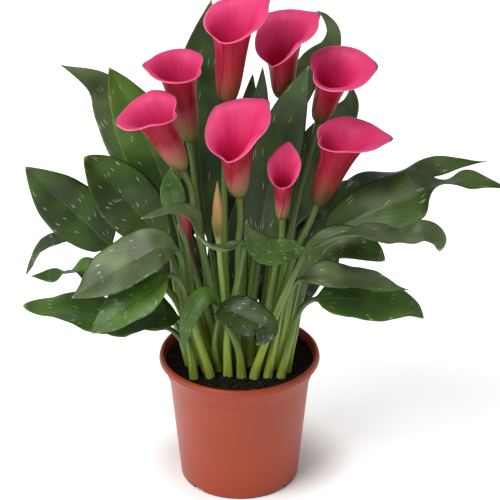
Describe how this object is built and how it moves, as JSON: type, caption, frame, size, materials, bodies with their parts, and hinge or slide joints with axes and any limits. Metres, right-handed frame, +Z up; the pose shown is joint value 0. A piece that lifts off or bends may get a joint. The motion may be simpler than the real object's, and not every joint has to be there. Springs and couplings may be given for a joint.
{
  "type": "potted calla lily",
  "caption": "Calla lily plant in a round nursery pot, with arching pointed leaves and pink funnel-shaped blooms on tall stems.",
  "frame": {"origin": "centre of the pot's foot, on the surface it stands on", "axes": "+Z up, -Y towards the viewer of the picture's side, +X to that viewer's right"},
  "size_m": [0.5054, 0.2923, 0.5468],
  "materials": {
    "terracotta_plastic": "satin moulded plastic in terracotta",
    "peat": "moist crumbly peat, weighed as light fibre",
    "tuber_skin": "dry brown corky skin",
    "leaf": "glossy deep green leaf with a light midrib",
    "stem": "smooth light green stalk",
    "spathe": "satin hot pink, paler at the edge, yellow-green at the foot",
    "spadix": "matt orange-yellow florets",
    "green_bud": "satin yellow-green, orange towards the tip",
    "pink_bud": "satin pink, rolled shut"
  },
  "bodies": {
    "root": {"pot": "terracotta_plastic", "peat": "peat", "tuber_left": "tuber_skin", "tuber_right": "tuber_skin", "leaf_left_long": "leaf", "leaf_left_broad": "leaf", "leaf_left_high": "leaf", "leaf_left_tall": "leaf", "leaf_left_arched": "leaf", "leaf_left_twisted": "leaf", "leaf_left_over": "leaf", "leaf_left_low": "leaf", "leaf_left_bright": "leaf", "leaf_left_front": "leaf", "leaf_left_inner": "leaf", "leaf_centre_curled": "leaf", "leaf_centre_drooped": "leaf", "leaf_centre_dome": "leaf", "leaf_centre_saddle": "leaf", "leaf_back_tall": "leaf", "leaf_middle_tall": "leaf", "leaf_middle": "leaf", "leaf_middle_grey": "leaf", "leaf_right_hooked": "leaf", "leaf_right_back": "leaf", "leaf_right_upper": "leaf", "leaf_right_broad": "leaf", "leaf_right_waved": "leaf", "leaf_right_drooped": "leaf", "leaf_right_lower": "leaf", "leaf_right_low": "leaf", "leaf_back_left": "leaf", "leaf_back_middle": "leaf", "leaf_back_right": "leaf", "bloom_top_left_stem": "stem", "bloom_top_left_spathe": "spathe", "bloom_top_left_spadix": "spadix", "bloom_top_right_stem": "stem", "bloom_top_right_spathe": "spathe", "bloom_top_right_spadix": "spadix", "bloom_right_upper_stem": "stem", "bloom_right_upper_spathe": "spathe", "bloom_right_upper_spadix": "spadix", "bloom_left_upper_stem": "stem", "bloom_left_upper_spathe": "spathe", "bloom_left_upper_spadix": "spadix", "bloom_left_stem": "stem", "bloom_left_spathe": "spathe", "bloom_left_spadix": "spadix", "bloom_front_stem": "stem", "bloom_front_spathe": "spathe", "bloom_front_spadix": "spadix", "bloom_right_stem": "stem", "bloom_right_spathe": "spathe", "bloom_right_spadix": "spadix", "bloom_small_stem": "stem", "bloom_small_spathe": "spathe", "bloom_small_spadix": "spadix", "bud_green": "green_bud", "bud_pink": "pink_bud"}
  },
  "joints": []
}
